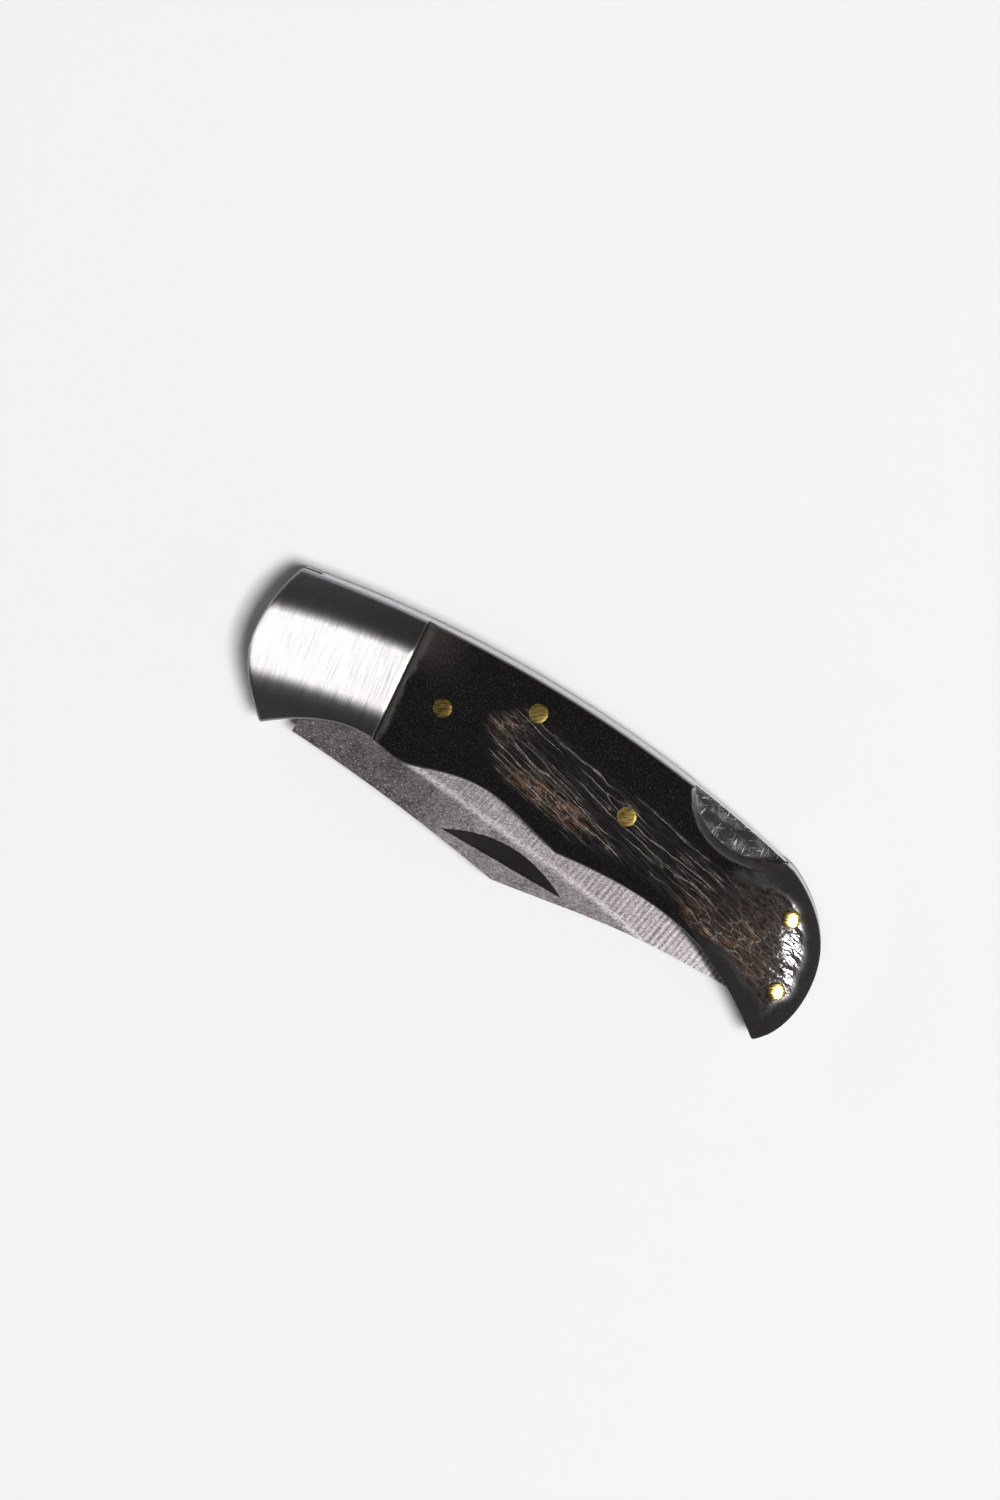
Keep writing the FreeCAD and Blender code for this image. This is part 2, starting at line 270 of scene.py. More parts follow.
def plan_mesh(loops, grid_step):
    outer, holes, inside = plan_points(loops, grid_step)
    points, edges = [], []
    for loop in [outer] + [hole[::-1] for hole in holes]:
        first = len(points)
        points += [Vector(p) for p in loop]
        edges += [(first + i, first + (i + 1) % len(loop)) for i in range(len(loop))]
    points += [Vector(p) for p in inside]
    made, _, faces = geometry.delaunay_2d_cdt(points, edges, [], CUT_TO_OUTLINE, SAME_POINT_MM)[:3]
    plan = np.array([tuple(p) for p in made])
    middles = plan[np.array(faces)].mean(axis=1)
    keep = np.full(len(faces), True)
    for hole in holes:
        centre = hole.mean(axis=0)
        keep &= np.hypot(*(middles - centre).T) > HOLE_SHARE * np.hypot(*(hole[0] - centre))
    used, corners = np.unique(np.array(faces)[keep], return_inverse=True)
    return plan[used], corners.reshape(-1, 3), outer


print("triangles of the bolster's plan:", len(plan_mesh(bolster_loops, BOLSTER_GRID)[1]))

# %% [markdown]
# ## From plan to shell
# Each point of the plan is lifted to its height. Walls and a foot then close the shell, so it is a solid
# piece and not a lid, and no light leaks in from below. Edges are shaded smooth unless they turn sharply.
# Values worked out on the way, such as where the bark lies, are stored on the points for the finish to
# read.

# %% Make a piece
SHARP_DEG = 40.0


def make_piece(name, work):
    mesh = bpy.data.meshes.new(name)
    work.verts.index_update()
    work.to_mesh(mesh)
    work.free()
    mesh.polygons.foreach_set("use_smooth", [True] * len(mesh.polygons))
    mesh.set_sharp_from_angle(angle=math.radians(SHARP_DEG))
    piece = bpy.data.objects.new(name, mesh)
    scene.collection.objects.link(piece)
    print(name, "faces:", len(mesh.polygons))
    return piece


print("edges that stay sharp turn by more than, degrees:", SHARP_DEG)

# %% Close a shell


def close_shell(work, foot_z):
    border = [edge for edge in work.edges if edge.is_boundary]
    lower = {}
    for edge in border:
        for v in edge.verts:
            if v not in lower:
                lower[v] = work.verts.new((v.co.x, v.co.y, foot_z))
    for edge in border:
        a, b = edge.verts
        work.faces.new((b, a, lower[a], lower[b]))
    foot_edges = [edge for edge in work.edges if edge.is_boundary]
    bmesh.ops.triangle_fill(work, edges=foot_edges, use_beauty=True)
    bmesh.ops.recalc_face_normals(work, faces=work.faces)


print("feet of the left and right shells, mm:", [round(float(z / MM), 3) for z in foot.values()])

# %% Build a shell


def shell(name, side, loops, grid_step, height):
    plan, faces, outer = plan_mesh(loops, grid_step)
    top, marks = height(plan, distance_to(plan, outer), outer)
    sign = 1 if side == "left" else -1
    work = bmesh.new()
    upper = [work.verts.new(to_frame((x, y, sign * z))) for (x, y), z in zip(plan, top)]
    for face in faces:
        ring = [upper[i] for i in face]
        work.faces.new(ring if sign > 0 else ring[::-1])
    close_shell(work, foot[side])
    piece = make_piece(name, work)
    for key, values in marks.items():
        layer = piece.data.attributes.new(key, "FLOAT", "POINT")
        full = np.zeros(len(piece.data.vertices), np.float32)
        full[: len(values)] = values
        layer.data.foreach_set("value", full)
    return piece


print("height of a shell's wall, mm:", round(float(crown_top - liner_outer), 3))

# %% [markdown]
# ## A finish, and where it lies on the piece
# Every finish below is a graph of nodes. One helper starts it, another makes a node and plugs in what it
# is given, numbers or sockets alike. A finish needs a place to start from: the position on the piece, in
# millimetres, turned and stretched. Unwrapping the mesh would do it too, but a position has no seams.

# %% Start a finish
STEEL_TINT = (0.60, 0.585, 0.57, 1)


def new_finish(name, color, metallic, roughness):
    finish = bpy.data.materials.new(name)
    finish.use_nodes = True
    tree = finish.node_tree
    shader = tree.nodes["Principled BSDF"]
    shader.inputs["Base Color"].default_value = color
    shader.inputs["Metallic"].default_value = metallic
    shader.inputs["Roughness"].default_value = roughness
    return finish, tree, shader


def plug(tree, socket, value):
    if isinstance(value, bpy.types.NodeSocket):
        tree.links.new(value, socket)
    else:
        socket.default_value = value


def node(tree, kind, inputs=(), **settings):
    made = tree.nodes.new("ShaderNode" + kind)
    for key, value in settings.items():
        setattr(made, key, value)
    for key, value in dict(inputs).items():
        plug(tree, made.inputs[key], value)
    return made


def tell_nodes(what, tree):
    print("nodes", what + ":", len(tree.nodes))


trial, trial_tree, trial_shader = new_finish("trial", STEEL_TINT, 1.0, 0.3)
tell_nodes("that a finish starts with", trial_tree)

# %% Where a point lies


def vector(tree, operation, *values):
    return node(tree, "VectorMath", dict(enumerate(values)), operation=operation).outputs


def parts(tree, values):
    return node(tree, "SeparateXYZ", {0: values}).outputs


def place(tree, turn_deg=0.0, per_mm=(1.0, 1.0, 1.0)):
    spot = node(tree, "TexCoord").outputs["Object"]
    inputs = {"Vector": spot, "Angle": -math.radians(turn_deg)}
    turned = node(tree, "VectorRotate", inputs, rotation_type="Z_AXIS").outputs[0]
    scale = [v / MM for v in per_mm]
    return vector(tree, "MULTIPLY", turned, scale)[0]


def ruler(tree):
    # The same place as x, y and z in millimetres from the pivot
    return parts(tree, vector(tree, "SUBTRACT", place(tree), pivot / MM)[0])


ruler(trial_tree)
tell_nodes("with a ruler", trial_tree)

# %% [markdown]
# ## Noise, steps and sums
# Most natural wear is noise that has been stretched along one direction and then cut between two values.
# So the helpers here are few: a stretched noise, a soft step from one value to another, sums, products
# and a blend of two colours.

# %% Noise and soft steps


def grain(tree, turn_deg, per_mm, detail, rough=0.55, twist=0.0):
    inputs = {"Vector": place(tree, turn_deg, per_mm), "Scale": 1.0, "Detail": detail, "Roughness": rough,
              "Distortion": twist}
    return node(tree, "TexNoise", inputs).outputs["Fac"]


def span(tree, value, low, high, to_low=0.0, to_high=1.0):
    inputs = {"Value": value, "From Min": low, "From Max": high, "To Min": to_low, "To Max": to_high}
    return node(tree, "MapRange", inputs, interpolation_type="SMOOTHSTEP").outputs["Result"]


soft_noise = span(trial_tree, grain(trial_tree, 0.0, (1.0, 1.0, 1.0), 3.0), 0.4, 0.6)
tell_nodes("with a noise and a soft step", trial_tree)

# %% Sums, products and blends


def calc(tree, operation, a, b=0.0, limit=False):
    return node(tree, "Math", {0: a, 1: b}, operation=operation, use_clamp=limit).outputs[0]


def plus(tree, first, *others):
    for other in others:
        first = calc(tree, "ADD", first, other)
    return first


def times(tree, first, *others):
    for other in others:
        first = calc(tree, "MULTIPLY", first, other)
    return first


def rest_of(tree, share):
    return calc(tree, "SUBTRACT", 1.0, share)


def blend(tree, share, a, b):
    made = node(tree, "Mix", {"Factor": share}, data_type="RGBA")
    plug(tree, made.inputs[6], a)
    plug(tree, made.inputs[7], b)
    return made.outputs[2]


blend(trial_tree, rest_of(trial_tree, soft_noise), STEEL_TINT, (0, 0, 0, 1))
tell_nodes("with a blend of two colours", trial_tree)

# %% [markdown]
# ## Hair lines, strands and relief
# A scratch or a fibre is long, thin and never quite straight. Hair lines come from where a stretched
# noise crosses its middle value: they wander, part and meet again. Strands are spaced more evenly, as
# fibres that grew side by side, and only drift. Relief is a bump, in real millimetres, that can lie on
# top of another.

# %% Hair lines and strands


def near(tree, value, middle):
    return calc(tree, "ABSOLUTE", calc(tree, "SUBTRACT", value, middle))


def hairs(tree, turn_deg, per_mm, width):
    waves = grain(tree, turn_deg, per_mm, 2.0, 0.45, 0.25)
    return span(tree, near(tree, waves, 0.5), 0.0, width, 1.0, 0.0)


def strands(tree, turn_deg, pitch_mm, width_mm, sway):
    across = parts(tree, place(tree, turn_deg))["Y"]
    drift = grain(tree, turn_deg, (0.06, 0.22, 0.1), 4.0)
    count = plus(tree, calc(tree, "DIVIDE", across, pitch_mm), times(tree, drift, sway))
    off = near(tree, calc(tree, "FRACT", count), 0.5)
    return span(tree, off, 0.0, 0.5 * width_mm / pitch_mm, 1.0, 0.0)


scratches = hairs(trial_tree, 0.0, (0.1, 1.0, 1.0), 0.02)
tell_nodes("with a field of scratches", trial_tree)

# %% Relief, and dressing a piece


def relief(tree, shader, height, depth_mm, below=None):
    inputs = {"Height": height, "Distance": depth_mm * MM}
    if below is not None:
        inputs["Normal"] = below
    made = node(tree, "Bump", inputs).outputs[0]
    tree.links.new(made, shader.inputs["Normal"])
    return made


def paint(tree, shader, color, rough):
    tree.links.new(color, shader.inputs["Base Color"])
    tree.links.new(rough, shader.inputs["Roughness"])


def dress(piece, finish):
    piece.data.materials.clear()
    piece.data.materials.append(finish)


relief(trial_tree, trial_shader, scratches, 0.01)
tell_nodes("with the scratches in relief", trial_tree)
bpy.data.materials.remove(trial)

# %% [markdown]
# ## Brushed steel
# The bolsters are stainless steel, drawn over a belt across the handle. Each fine groove spreads light
# along the handle and keeps it narrow across, so the lamp becomes one broad white band. Grooves that fine
# could only be modelled with millions of faces. An anisotropic shader does the same, with its tangent
# along the handle, and stretched noise adds single scratches and the ragged edge of the band. The rolled
# sides are painted darker, as painted shade for the dark bands beside the white one.

# %% Finish of the bolsters
BRUSH_TURN_DEG = 10.0
BRUSH_SPREAD = 0.83
NICK_TURN_DEG = 70.0
COARSE_FRONT = (-4.0, 13.0)
GROOVE_DEPTH = 0.0022
WAVE_DEPTH = 0.02
GROOVE_DARK = (0.42, 0.407, 0.405, 1)
GROOVE_BRIGHT = (0.60, 0.585, 0.58, 1)
SCRATCH_DARK = (0.25, 0.24, 0.235, 1)
PAINTED_SHADE_DARK = (0.16, 0.158, 0.170, 1)
PAINTED_SHADE_SPAN = (4.0, 5.5)
PAINTED_SHADE_SHARE = 0.75


def painted_shade_on_rolls(tree):
    # The sides that roll off the crown's land, where the steel is painted darker as painted shade
    x, y, _ = ruler(tree)
    spot = node(tree, "CombineXYZ", {"X": x, "Y": y}).outputs[0]
    reach = vector(tree, "DISTANCE", spot, (*CROWN_AXIS, 0.0))["Value"]
    return span(tree, near(tree, reach, CROWN_MID_RADIUS), *PAINTED_SHADE_SPAN, 0.0, PAINTED_SHADE_SHARE)


def brushed_steel():
    finish, tree, shader = new_finish("brushed_steel", STEEL_TINT, 1.0, 0.34)
    shader.inputs["Anisotropic"].default_value = BRUSH_SPREAD
    turn = math.radians(BRUSH_TURN_DEG)
    along = node(tree, "CombineXYZ", {"X": math.cos(turn), "Y": math.sin(turn)})
    tree.links.new(along.outputs[0], shader.inputs["Tangent"])
    fine = grain(tree, BRUSH_TURN_DEG, (10.0, 0.22, 0.25), 4.0, 0.6)
    broad = grain(tree, BRUSH_TURN_DEG, (2.0, 0.3, 0.35), 2.0, 0.5)
    nicks = grain(tree, NICK_TURN_DEG, (0.5, 7.0, 2.0), 2.0, 0.5)
    coarser_front = span(tree, ruler(tree)["X"], *COARSE_FRONT, 0.06, 0.0)
    rough = plus(tree, span(tree, fine, 0.3, 0.7, 0.31, 0.37), coarser_front)
    shade = blend(tree, span(tree, fine, 0.25, 0.75), GROOVE_DARK, GROOVE_BRIGHT)
    # Painted shade: the rolled sides are painted darker, so the bands beside the white one come out dark
    shade = blend(tree, painted_shade_on_rolls(tree), shade, PAINTED_SHADE_DARK)
    shade = blend(tree, span(tree, nicks, 0.70, 0.76, 0.0, 0.5), shade, SCRATCH_DARK)
    paint(tree, shader, shade, rough)
    lines = relief(tree, shader, fine, GROOVE_DEPTH)
    relief(tree, shader, broad, WAVE_DEPTH, lines)
    return finish


bolster_finish = brushed_steel()
tell_nodes("in the brushed steel", bolster_finish.node_tree)

# %% [markdown]
# ## Bolsters
# A bolster is the steel cap that takes the wear at the pivot end. Its shell follows the crown and is
# rounded over at its edge, as a belt leaves it. The pivot pin and the rivets are ground flush with it and
# wear the same finish, which is why they can't be seen.

# %% Shells of the bolsters
EDGE_ROUND = 0.4


def rounded_edge(from_edge):
    return roll_drop(EDGE_ROUND - from_edge, EDGE_ROUND)


def bolster_height(plan, from_edge, outer):
    return crown_height(*plan.T) - rounded_edge(from_edge), {}


for side in ("left", "right"):
    loops = foot_loops(side + "_bolster", foot[side])
    piece = shell(side + "_bolster_shell", side, loops, BOLSTER_GRID, bolster_height)
    dress(piece, bolster_finish)
    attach(piece, "handle")
    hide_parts(side + "_bolster")
for name in ("pivot_pin", "left_bolster_rivets", "right_bolster_rivets"):
    dress(nodes[name], bolster_finish)

# %% [markdown]
# ## Horn scales
# Buffalo horn is black and takes a high polish where it is ground. The middle of each scale keeps the
# animal's own skin: a rough bark with long pale fibres that run a little aslant of the handle. A bump
# could fake it, but the bark is real relief here, so it holds from every side. It starts from noise along
# the fibres.

# %% Noise along the fibres
FIBRE_TURN_DEG = -12.0
HORN_SEEDS = {"left": 4.3, "right": 51.7}


def smooth(value, low, high):
    share = np.clip((value - low) / (high - low), 0, 1)
    return share * share * (3 - 2 * share)


def noise_at(points, stretch, seed):
    return np.array([noise.noise((x, y, seed)) for x, y in points * np.asarray(stretch)])


def fibre_axes(plan):
    turn = math.radians(FIBRE_TURN_DEG)
    return plan @ np.array([[math.cos(turn), -math.sin(turn)], [math.sin(turn), math.cos(turn)]])


rim_noise = noise_at(fibre_axes(even_steps(scale_loops[0], 1.0)), (0.25, 0.5), HORN_SEEDS["left"])
print("noise round the left scale:", round(rim_noise.min(), 2), "to", round(rim_noise.max(), 2))

# %% [markdown]
# ## Where the bark lies
# The horn was ground smooth at the front and all round its edge, and the bark was left in the middle.
# Three borders give its outline: a curve at the front, a slope under the spine, and a rim of even width
# that opens a little near the tail. The noise makes each of them ragged. Painting a mask would need a
# picture file.

# %% Border of the bark
BARK_FRONT = (23.3, 5.4)
BARK_FRONT_BEND = 0.2
BARK_TOP = (32.3, 8.7)
BARK_TOP_SLOPE = -0.104
BARK_TOP_RISE = 2.0
BARK_TOP_RISE_SPAN = (57.0, 64.0)
RIM_WIDTH = 2.5
RIM_THIN_BY = 1.1
RIM_THIN_MIDDLE = 62.0
RIM_THIN_REACH = 4.0
TAIL_SPAN = (66.0, 71.0)
TAIL_RIM_Y = (-7.0, -5.0)
TAIL_RIM_MORE = (0.4, -0.6)


def bark_mask(plan, from_edge, ragged):
    x, y = plan.T
    front = BARK_FRONT[0] + BARK_FRONT_BEND * (y - BARK_FRONT[1]) ** 2
    upper = BARK_TOP[1] + BARK_TOP_SLOPE * (x - BARK_TOP[0])
    upper += BARK_TOP_RISE * smooth(x, *BARK_TOP_RISE_SPAN)
    thin = np.exp(-((x - RIM_THIN_MIDDLE) / RIM_THIN_REACH) ** 2)
    rim = RIM_WIDTH - RIM_THIN_BY * smooth(-y, 0.0, 3.0) * thin
    rim += smooth(x, *TAIL_SPAN) * np.interp(y, TAIL_RIM_Y, TAIL_RIM_MORE)
    mask = smooth(x - front + 2.0 * ragged, -0.5, 3.5)
    mask = mask * smooth(upper - y + 0.8 * ragged, -0.6, 1.0)
    return mask * smooth(from_edge - rim + 0.5 * ragged, -0.8, 0.8)


middle_and_front = np.array([(40.0, 3.0), (15.0, 5.0)])
print("bark in the middle and at the front:", bark_mask(middle_and_front, np.full(2, 5.0), np.zeros(2)))

# %% [markdown]
# ## Seam and thumb notch
# At the front a scale meets its bolster in a small chamfer. Near the tail a notch is scooped out, so that
# a thumb can reach the lock bar, and its flared wall is widest in the middle. Both are worked out as
# distances: to the line of the seam, and to the notch's own part of the outline. A boolean cut would
# leave long, thin triangles.

# %% Distances for the seam and the notch
SPINE_ARC = (32.6, 13.15, 180.0)
NOTCH_SPAN = (50.0, 68.3)
NOTCH_ENDS = (52.0, 67.4)
NOTCH_FLARE = (0.4, 0.85)
NOTCH_LOWEST_Y = 5.0
SPINE_CLEAR = 0.05
SEAM_LINE = ((11.73, 11.0), (13.5, -4.9))


def from_seam(plan):
    (x0, y0), (x1, y1) = SEAM_LINE
    return ((plan[:, 0] - x0) * (y0 - y1) - (plan[:, 1] - y0) * (x0 - x1)) / math.dist(*SEAM_LINE)


def notch_line(outer):
    middle, apex, radius = SPINE_ARC
    x, y = outer.T
    spine = apex - radius + np.sqrt(radius ** 2 - (x - middle) ** 2)
    along = (x > NOTCH_SPAN[0]) & (x < NOTCH_SPAN[1])
    notch = outer[along & (y > NOTCH_LOWEST_Y) & (y < spine - SPINE_CLEAR)]
    return notch[np.argsort(notch[:, 0])]


def notch_flare(plan, outer):
    # How far up the flared wall a point is: 0 at its foot, 1 at the full height of the crown
    share = np.clip((plan[:, 0] - NOTCH_ENDS[0]) / (NOTCH_ENDS[1] - NOTCH_ENDS[0]), 0, 1)
    width = NOTCH_FLARE[0] + (NOTCH_FLARE[1] - NOTCH_FLARE[0]) * np.sin(math.pi * share)
    return distance_to(plan, notch_line(outer), closed=False) / width


notch = notch_line(even_steps(scale_loops[0], OUTLINE_STEP))
print("length of the thumb notch, mm:", round(float(np.ptp(notch[:, 0])), 1))

# %% [markdown]
# ## Marks that the horn carries
# Age doesn't treat the bark alike: in a few places it is weathered, and towards the tail its fibres lie
# matted. Dust and polishing paste stay in the seam, in the notch and on the tail's rim. Each mark is a
# number from 0 to 1 on every point, so relief and colour can share it and always agree.

# %% Weathered, matted and dusty places
# Middle, then reach along and across the handle
WEATHERED = ((27.2, 6.0, 2.4, 1.6), (36.5, 0.3, 5.0, 1.8), (60.0, -2.6, 4.0, 1.2), (68.0, -2.0, 5.5, 3.6))
MATTED_SPAN = (60.0, 68.0)
SEAM_DUST = 1.5
FRONT_DUST = 9.0
FRONT_DUST_Y = (4.0, 11.0)
TAIL_DUST = 0.10


def horn_marks(plan, from_edge, seed):
    x, y = plan.T
    uv = fibre_axes(plan)
    ragged = noise_at(uv, (0.25, 0.5), seed) + 0.6 * noise_at(uv, (0.8, 1.2), seed + 3)
    ridges = noise_at(uv, (0.08, 0.55), seed + 7) + 0.6 * noise_at(uv, (0.2, 1.4), seed + 11)
    bark = bark_mask(plan, from_edge, ragged)
    worn = sum(np.exp(-((x - a) / rx) ** 2 - ((y - b) / ry) ** 2) for a, b, rx, ry in WEATHERED)
    worn = np.clip(worn * (1 + 0.9 * ragged), 0, 1) * bark
    matted = smooth(x + 3.0 * ragged, *MATTED_SPAN)
    return SimpleNamespace(ragged=ragged, ridges=ridges, bark=bark, worn=worn, matted=matted)


def dusty_places(plan, marks, behind_seam, flare):
    x, y = plan.T
    dust = smooth(SEAM_DUST + 0.5 * marks.ragged - behind_seam, 0.0, 1.2)
    dust += 0.5 * smooth(FRONT_DUST - behind_seam, 0.0, FRONT_DUST) * smooth(y, *FRONT_DUST_Y)
    dust = np.maximum(dust, TAIL_DUST * smooth(x, *TAIL_SPAN) * (1 - marks.bark))
    return np.clip(np.maximum(dust, 0.5 * smooth(1.2 - flare, 0.0, 0.3)), 0, 1)


sample = horn_marks(middle_and_front, np.full(2, 5.0), HORN_SEEDS["left"])
print("weathering in the middle and at the front:", sample.worn.round(2))

# %% [markdown]
# ## Height of a scale
# The crown comes first, then what was taken off it: the rounded edge, the grooves of the bark, the
# chamfer at the seam and the flared notch. The notch meets the crown in a soft lip, because a polishing
# wheel breaks every edge. A smooth minimum of the two heights gives that lip without a bevel tool.

# %% Height over each point
BARK_DEPTH = 0.14
SEAM_CHAMFER = 0.6
SEAM_SLOPE = 0.6
NOTCH_SOFT = 0.3
LEAST_WALL = 0.05


def scale_height(seed):
    def height(plan, from_edge, outer):
        marks = horn_marks(plan, from_edge, seed)
        behind_seam = from_seam(plan)
        flare = notch_flare(plan, outer)
        groove = np.clip(0.55 + 0.6 * marks.ridges + 0.3 * marks.worn * marks.ragged, 0, 1)
        top = crown_height(*plan.T) - rounded_edge(from_edge) - BARK_DEPTH * marks.bark * groove
        top -= np.clip(SEAM_CHAMFER - behind_seam, 0, None) * SEAM_SLOPE
        wall = liner_outer + flare * (crown_top - liner_outer)
        top = (top + wall - np.hypot(top - wall, NOTCH_SOFT)) / 2
        dust = dusty_places(plan, marks, behind_seam, flare)
        stored = {"bark": marks.bark, "worn": marks.worn, "dust": dust, "matted": marks.matted}
        return np.maximum(top, liner_outer + LEAST_WALL), stored
    return height


rim = even_steps(scale_loops[0], 1.0)
rim_top = scale_height(HORN_SEEDS["left"])(rim, np.zeros(len(rim)), rim)[0]
print("height of the scale's edge, mm:", round(rim_top.min(), 2), "to", round(rim_top.max(), 2))

# %% [markdown]
# ## Patterns in the horn
# The finish adds what is finer than the mesh. It reads the stored marks back and lays noise over them:
# fibres, clouds, lumps and specks. Where the bark is weathered it has split into a net of cracks, for
# which a bent cell pattern does better than noise. The pale fibres are strands and hairs, broken by the
# clouds.

# %% Patterns of the horn
STRAND_PITCH = 1.3
STRAND_WIDTH = 0.2
STRAND_SWAY = 3.0
CRACK_BEND = (0.7, 0.7, 0.7)


def cracks(tree, per_mm, width):
    spot = place(tree, FIBRE_TURN_DEG, per_mm)
    bent = node(tree, "TexNoise", {"Vector": spot, "Scale": 1.3, "Detail": 2.0}).outputs["Color"]
    spot = vector(tree, "MULTIPLY_ADD", bent, CRACK_BEND, spot)[0]
    cells = node(tree, "TexVoronoi", {"Vector": spot, "Scale": 1.0}, feature="DISTANCE_TO_EDGE")
    return span(tree, cells.outputs["Distance"], 0.0, width, 1.0, 0.0)


def pale_fibres(tree, seen):
    clouds = grain(tree, FIBRE_TURN_DEG, (0.10, 0.45, 0.3), 3.0, 0.6)
    thick = strands(tree, FIBRE_TURN_DEG, STRAND_PITCH, STRAND_WIDTH, STRAND_SWAY)
    thin = hairs(tree, FIBRE_TURN_DEG, (0.07, 1.1, 0.6), 0.022)
    lines = calc(tree, "MAXIMUM", thick, times(tree, thin, 0.5))
    fewer = span(tree, seen.matted, 0.0, 1.0, 1.0, 0.2)
    lines = times(tree, lines, span(tree, clouds, 0.40, 0.54, 0.05, 1.0), fewer)
    web = times(tree, cracks(tree, (0.4, 1.3, 1.0), 0.08), seen.worn, 0.8)
    patchy = span(tree, seen.specks, 0.38, 0.6, 0.2, 1.0)
    return times(tree, calc(tree, "MAXIMUM", lines, web), patchy, seen.bark)


def horn_patterns(tree):
    keys = ("bark", "worn", "dust", "matted")
    stored = {key: node(tree, "Attribute", attribute_name=key).outputs["Fac"] for key in keys}
    seen = SimpleNamespace(**stored)
    seen.fibres = grain(tree, FIBRE_TURN_DEG, (0.35, 5.0, 2.0), 5.0, 0.7, 0.3)
    seen.lumps = grain(tree, FIBRE_TURN_DEG, (0.5, 0.8, 0.6), 2.0, 0.5)
    seen.specks = grain(tree, 0.0, (4.5, 4.5, 4.5), 4.0, 0.7)
    seen.pale = pale_fibres(tree, seen)
    return seen


horn_finish, horn_tree, horn_shader = new_finish("horn", (0.010, 0.0095, 0.009, 1), 0.0, 0.2)
horn_seen = horn_patterns(horn_tree)
tell_nodes("for the horn's patterns", horn_tree)

# %% [markdown]
# ## Colour of the horn
# Polished horn is black with grey specks. The skin is darker still in its grooves, brown where it is
# weathered, and amber where light gets in between the fibres. Near the tail the matted fibres hide most
# of that. The pale fibres come last, because they lie on top.

# %% Horn colour
HORN_BLACK = (0.0065, 0.006, 0.006, 1)
HORN_SPECK = (0.040, 0.036, 0.033, 1)
DUST_BROWN = (0.055, 0.045, 0.039, 1)
SKIN_DARK = (0.006, 0.006, 0.0075, 1)
SKIN_GREY = (0.030, 0.027, 0.025, 1)
WORN_BROWN = (0.060, 0.040, 0.027, 1)
AMBER = (0.28, 0.11, 0.033, 1)
AMBER_Y = (1.0, 4.0)
MAT_DARK = (0.007, 0.006, 0.006, 1)
MAT_BROWN = (0.074, 0.058, 0.049, 1)
FIBRE_PALE = (0.30, 0.25, 0.21, 1)


def horn_color(tree, seen):
    black = blend(tree, span(tree, seen.specks, 0.52, 0.72), HORN_BLACK, HORN_SPECK)
    dusty = times(tree, seen.dust, span(tree, seen.specks, 0.3, 0.65, 0.35, 1.0))
    black = blend(tree, dusty, black, DUST_BROWN)
    skin = blend(tree, span(tree, seen.fibres, 0.38, 0.75), SKIN_DARK, SKIN_GREY)
    skin = blend(tree, times(tree, seen.worn, span(tree, seen.fibres, 0.40, 0.65)), skin, WORN_BROWN)
    towards_belly = span(tree, ruler(tree)["Y"], *AMBER_Y, 1.0, 0.15)
    amber = times(tree, seen.worn, span(tree, seen.lumps, 0.48, 0.58), towards_belly)
    skin = blend(tree, times(tree, amber, span(tree, seen.fibres, 0.45, 0.6, 0.0, 0.8)), skin, AMBER)
    tufts = grain(tree, FIBRE_TURN_DEG, (1.3, 3.6, 2.5), 5.0, 0.75, 0.4)
    mat = blend(tree, span(tree, tufts, 0.36, 0.66), MAT_DARK, MAT_BROWN)
    skin = blend(tree, times(tree, seen.matted, 0.75), skin, mat)
    skin = blend(tree, seen.pale, skin, FIBRE_PALE)
    return blend(tree, seen.bark, black, skin)


horn_tree.links.new(horn_color(horn_tree, horn_seen), horn_shader.inputs["Base Color"])
tell_nodes("with the horn's colour", horn_tree)

# %% [markdown]
# ## Gloss and relief of the horn
# Horn is as glossy as hard plastic, and its index of refraction is 1.54. Dust and fibres make it rougher,
# and the tail's rim, which pockets have rubbed dull, is the roughest. Three bumps lie on one another: the
# lumps of the bark, its fibres, and the finest specks. One strong bump would look like orange peel.

# %% Horn surface
HORN_IOR = 1.54
DULL_RIM = 0.75
LUMP_DEPTH = 0.15
FIBRE_DEPTH = 0.005
SPECK_DEPTH = 0.0012


def horn_surface(tree, shader, seen):
    shader.inputs["IOR"].default_value = HORN_IOR
    dull = times(tree, seen.matted, rest_of(tree, seen.bark))
    gloss = span(tree, seen.specks, 0.45, 0.8, 0.12, 0.22)
    rough = plus(tree, gloss, times(tree, seen.dust, 0.6), times(tree, seen.pale, 0.25))
    tree.links.new(plus(tree, rough, times(tree, dull, DULL_RIM)), shader.inputs["Roughness"])
    carved = times(tree, calc(tree, "SUBTRACT", seen.fibres, times(tree, seen.pale, 0.4)), seen.bark)
    waves = relief(tree, shader, times(tree, seen.lumps, seen.bark), LUMP_DEPTH)
    pits = relief(tree, shader, carved, FIBRE_DEPTH, waves)
    relief(tree, shader, seen.specks, SPECK_DEPTH, pits)


horn_surface(horn_tree, horn_shader, horn_seen)
tell_nodes("in the horn", horn_tree)

# %% [markdown]
# ## The two scales
# Both scales are cut from one horn, so they share the finish. Each has its own seed, because no two
# pieces of bark are alike. The grid is finer than the bolsters', as the grooves are only a few tenths of
# a millimetre wide.

# %% Shells of the scales
SCALE_GRID = 0.24

for side, seed in HORN_SEEDS.items():
    loops = foot_loops(side + "_scale", foot[side])
    piece = shell(side + "_scale_shell", side, loops, SCALE_GRID, scale_height(seed))
    dress(piece, horn_finish)
    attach(piece, "handle")
    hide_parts(side + "_scale")

# %% [markdown]
# ## Zones of the blade
# The blade is one piece with three surfaces: the flat, the bevel ground between it and the edge, and the
# nail nick. It could be cut into three meshes, but it is one bar of steel. The bevel leans towards the
# edge, the nick towards the back, and the flat not at all, so the surface's own direction tells them
# apart.

# %% Zones of the blade
GRIND_START = (10.0, -4.7)
GRIND_SLOPE = -0.0718
GRIND_BEND = (45.0, -0.0068)
LEAN = 0.08
SIDEWAYS = 0.9


